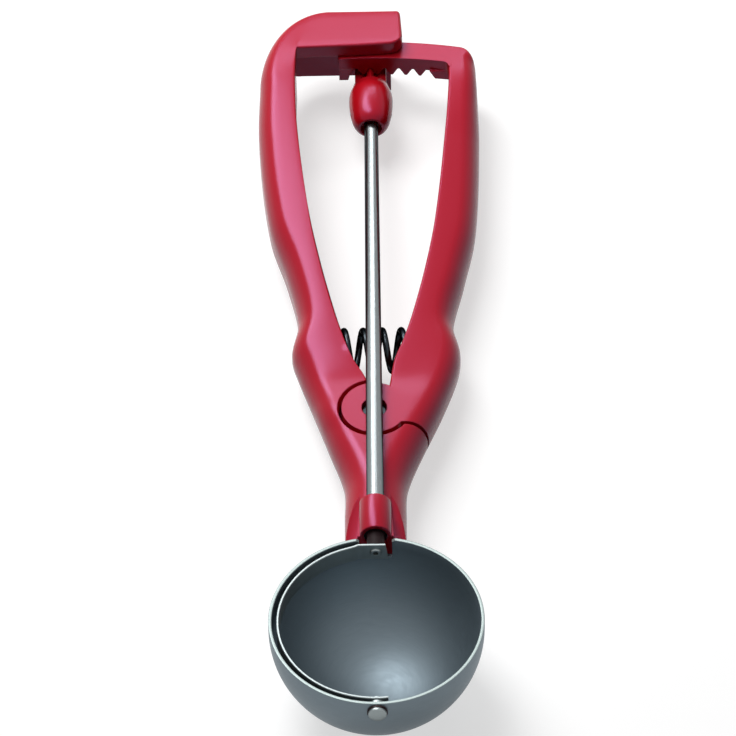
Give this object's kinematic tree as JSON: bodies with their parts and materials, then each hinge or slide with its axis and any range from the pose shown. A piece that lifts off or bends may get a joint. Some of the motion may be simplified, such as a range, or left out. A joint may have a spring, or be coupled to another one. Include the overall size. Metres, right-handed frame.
{
  "type": "lever ice cream scoop",
  "caption": "Ice cream scoop with a round bowl whose scraper band is swept through half a turn by a rack and pinion when its two sprung grips are squeezed.",
  "frame": {"origin": "centre of the bowl's mouth, in the plane of its rim", "axes": "+Z out of the bowl's mouth, +Y along the drive rod from the bowl to the grips' ends, +X towards the lever grip"},
  "size_m": [0.0608, 0.2403, 0.0418],
  "materials": {
    "red_plastic": "satin moulded plastic",
    "bowl_metal": "fine satin",
    "steel": "bright drawn",
    "spring_steel": "dark drawn wire",
    "bush_plastic": "moulded acetal",
    "dark_plastic": "moulded"
  },
  "bodies": {
    "frame": {"fixed_handle": "red_plastic", "fixed_back_cover": "red_plastic", "fixed_cover_screws": "steel", "lower_guide_bush": "bush_plastic", "rod_end_bush": "bush_plastic", "bowl": "bowl_metal", "bowl_tang": "steel", "tang_screws": "steel", "tip_rivet": "steel", "tip_washer": "dark_plastic", "tip_spacer": "steel", "pivot_pin": "steel", "pivot_washer": "steel", "pivot_clip": "steel", "return_spring": "spring_steel"},
    "lever": {"lever_handle": "red_plastic", "lever_back_cover": "red_plastic", "lever_cover_screws": "steel", "pivot_bush": "steel"},
    "drive": {"drive_rod": "steel", "pinion": "red_plastic", "pinion_cross_pin": "steel", "scraper": "bowl_metal"}
  },
  "joints": [
    {"name": "lever", "type": "hinge", "parent": "frame", "child": "lever", "pos_m": [0, 0.078, -0.009], "axis": [0, 0, 1], "range_deg": [0, 5.7], "stiffness_Nm_per_rad": 15, "springref_deg": -2.86, "deforming": ["return_spring"]},
    {"name": "drive", "type": "hinge", "parent": "frame", "child": "drive", "pos_m": [0, 0.1, -0.003], "axis": [0, -1, 0], "range_deg": [0, 180]}
  ],
  "couplings": [
    {"joint": "drive", "follows": "lever", "ratio": 31.532}
  ]
}
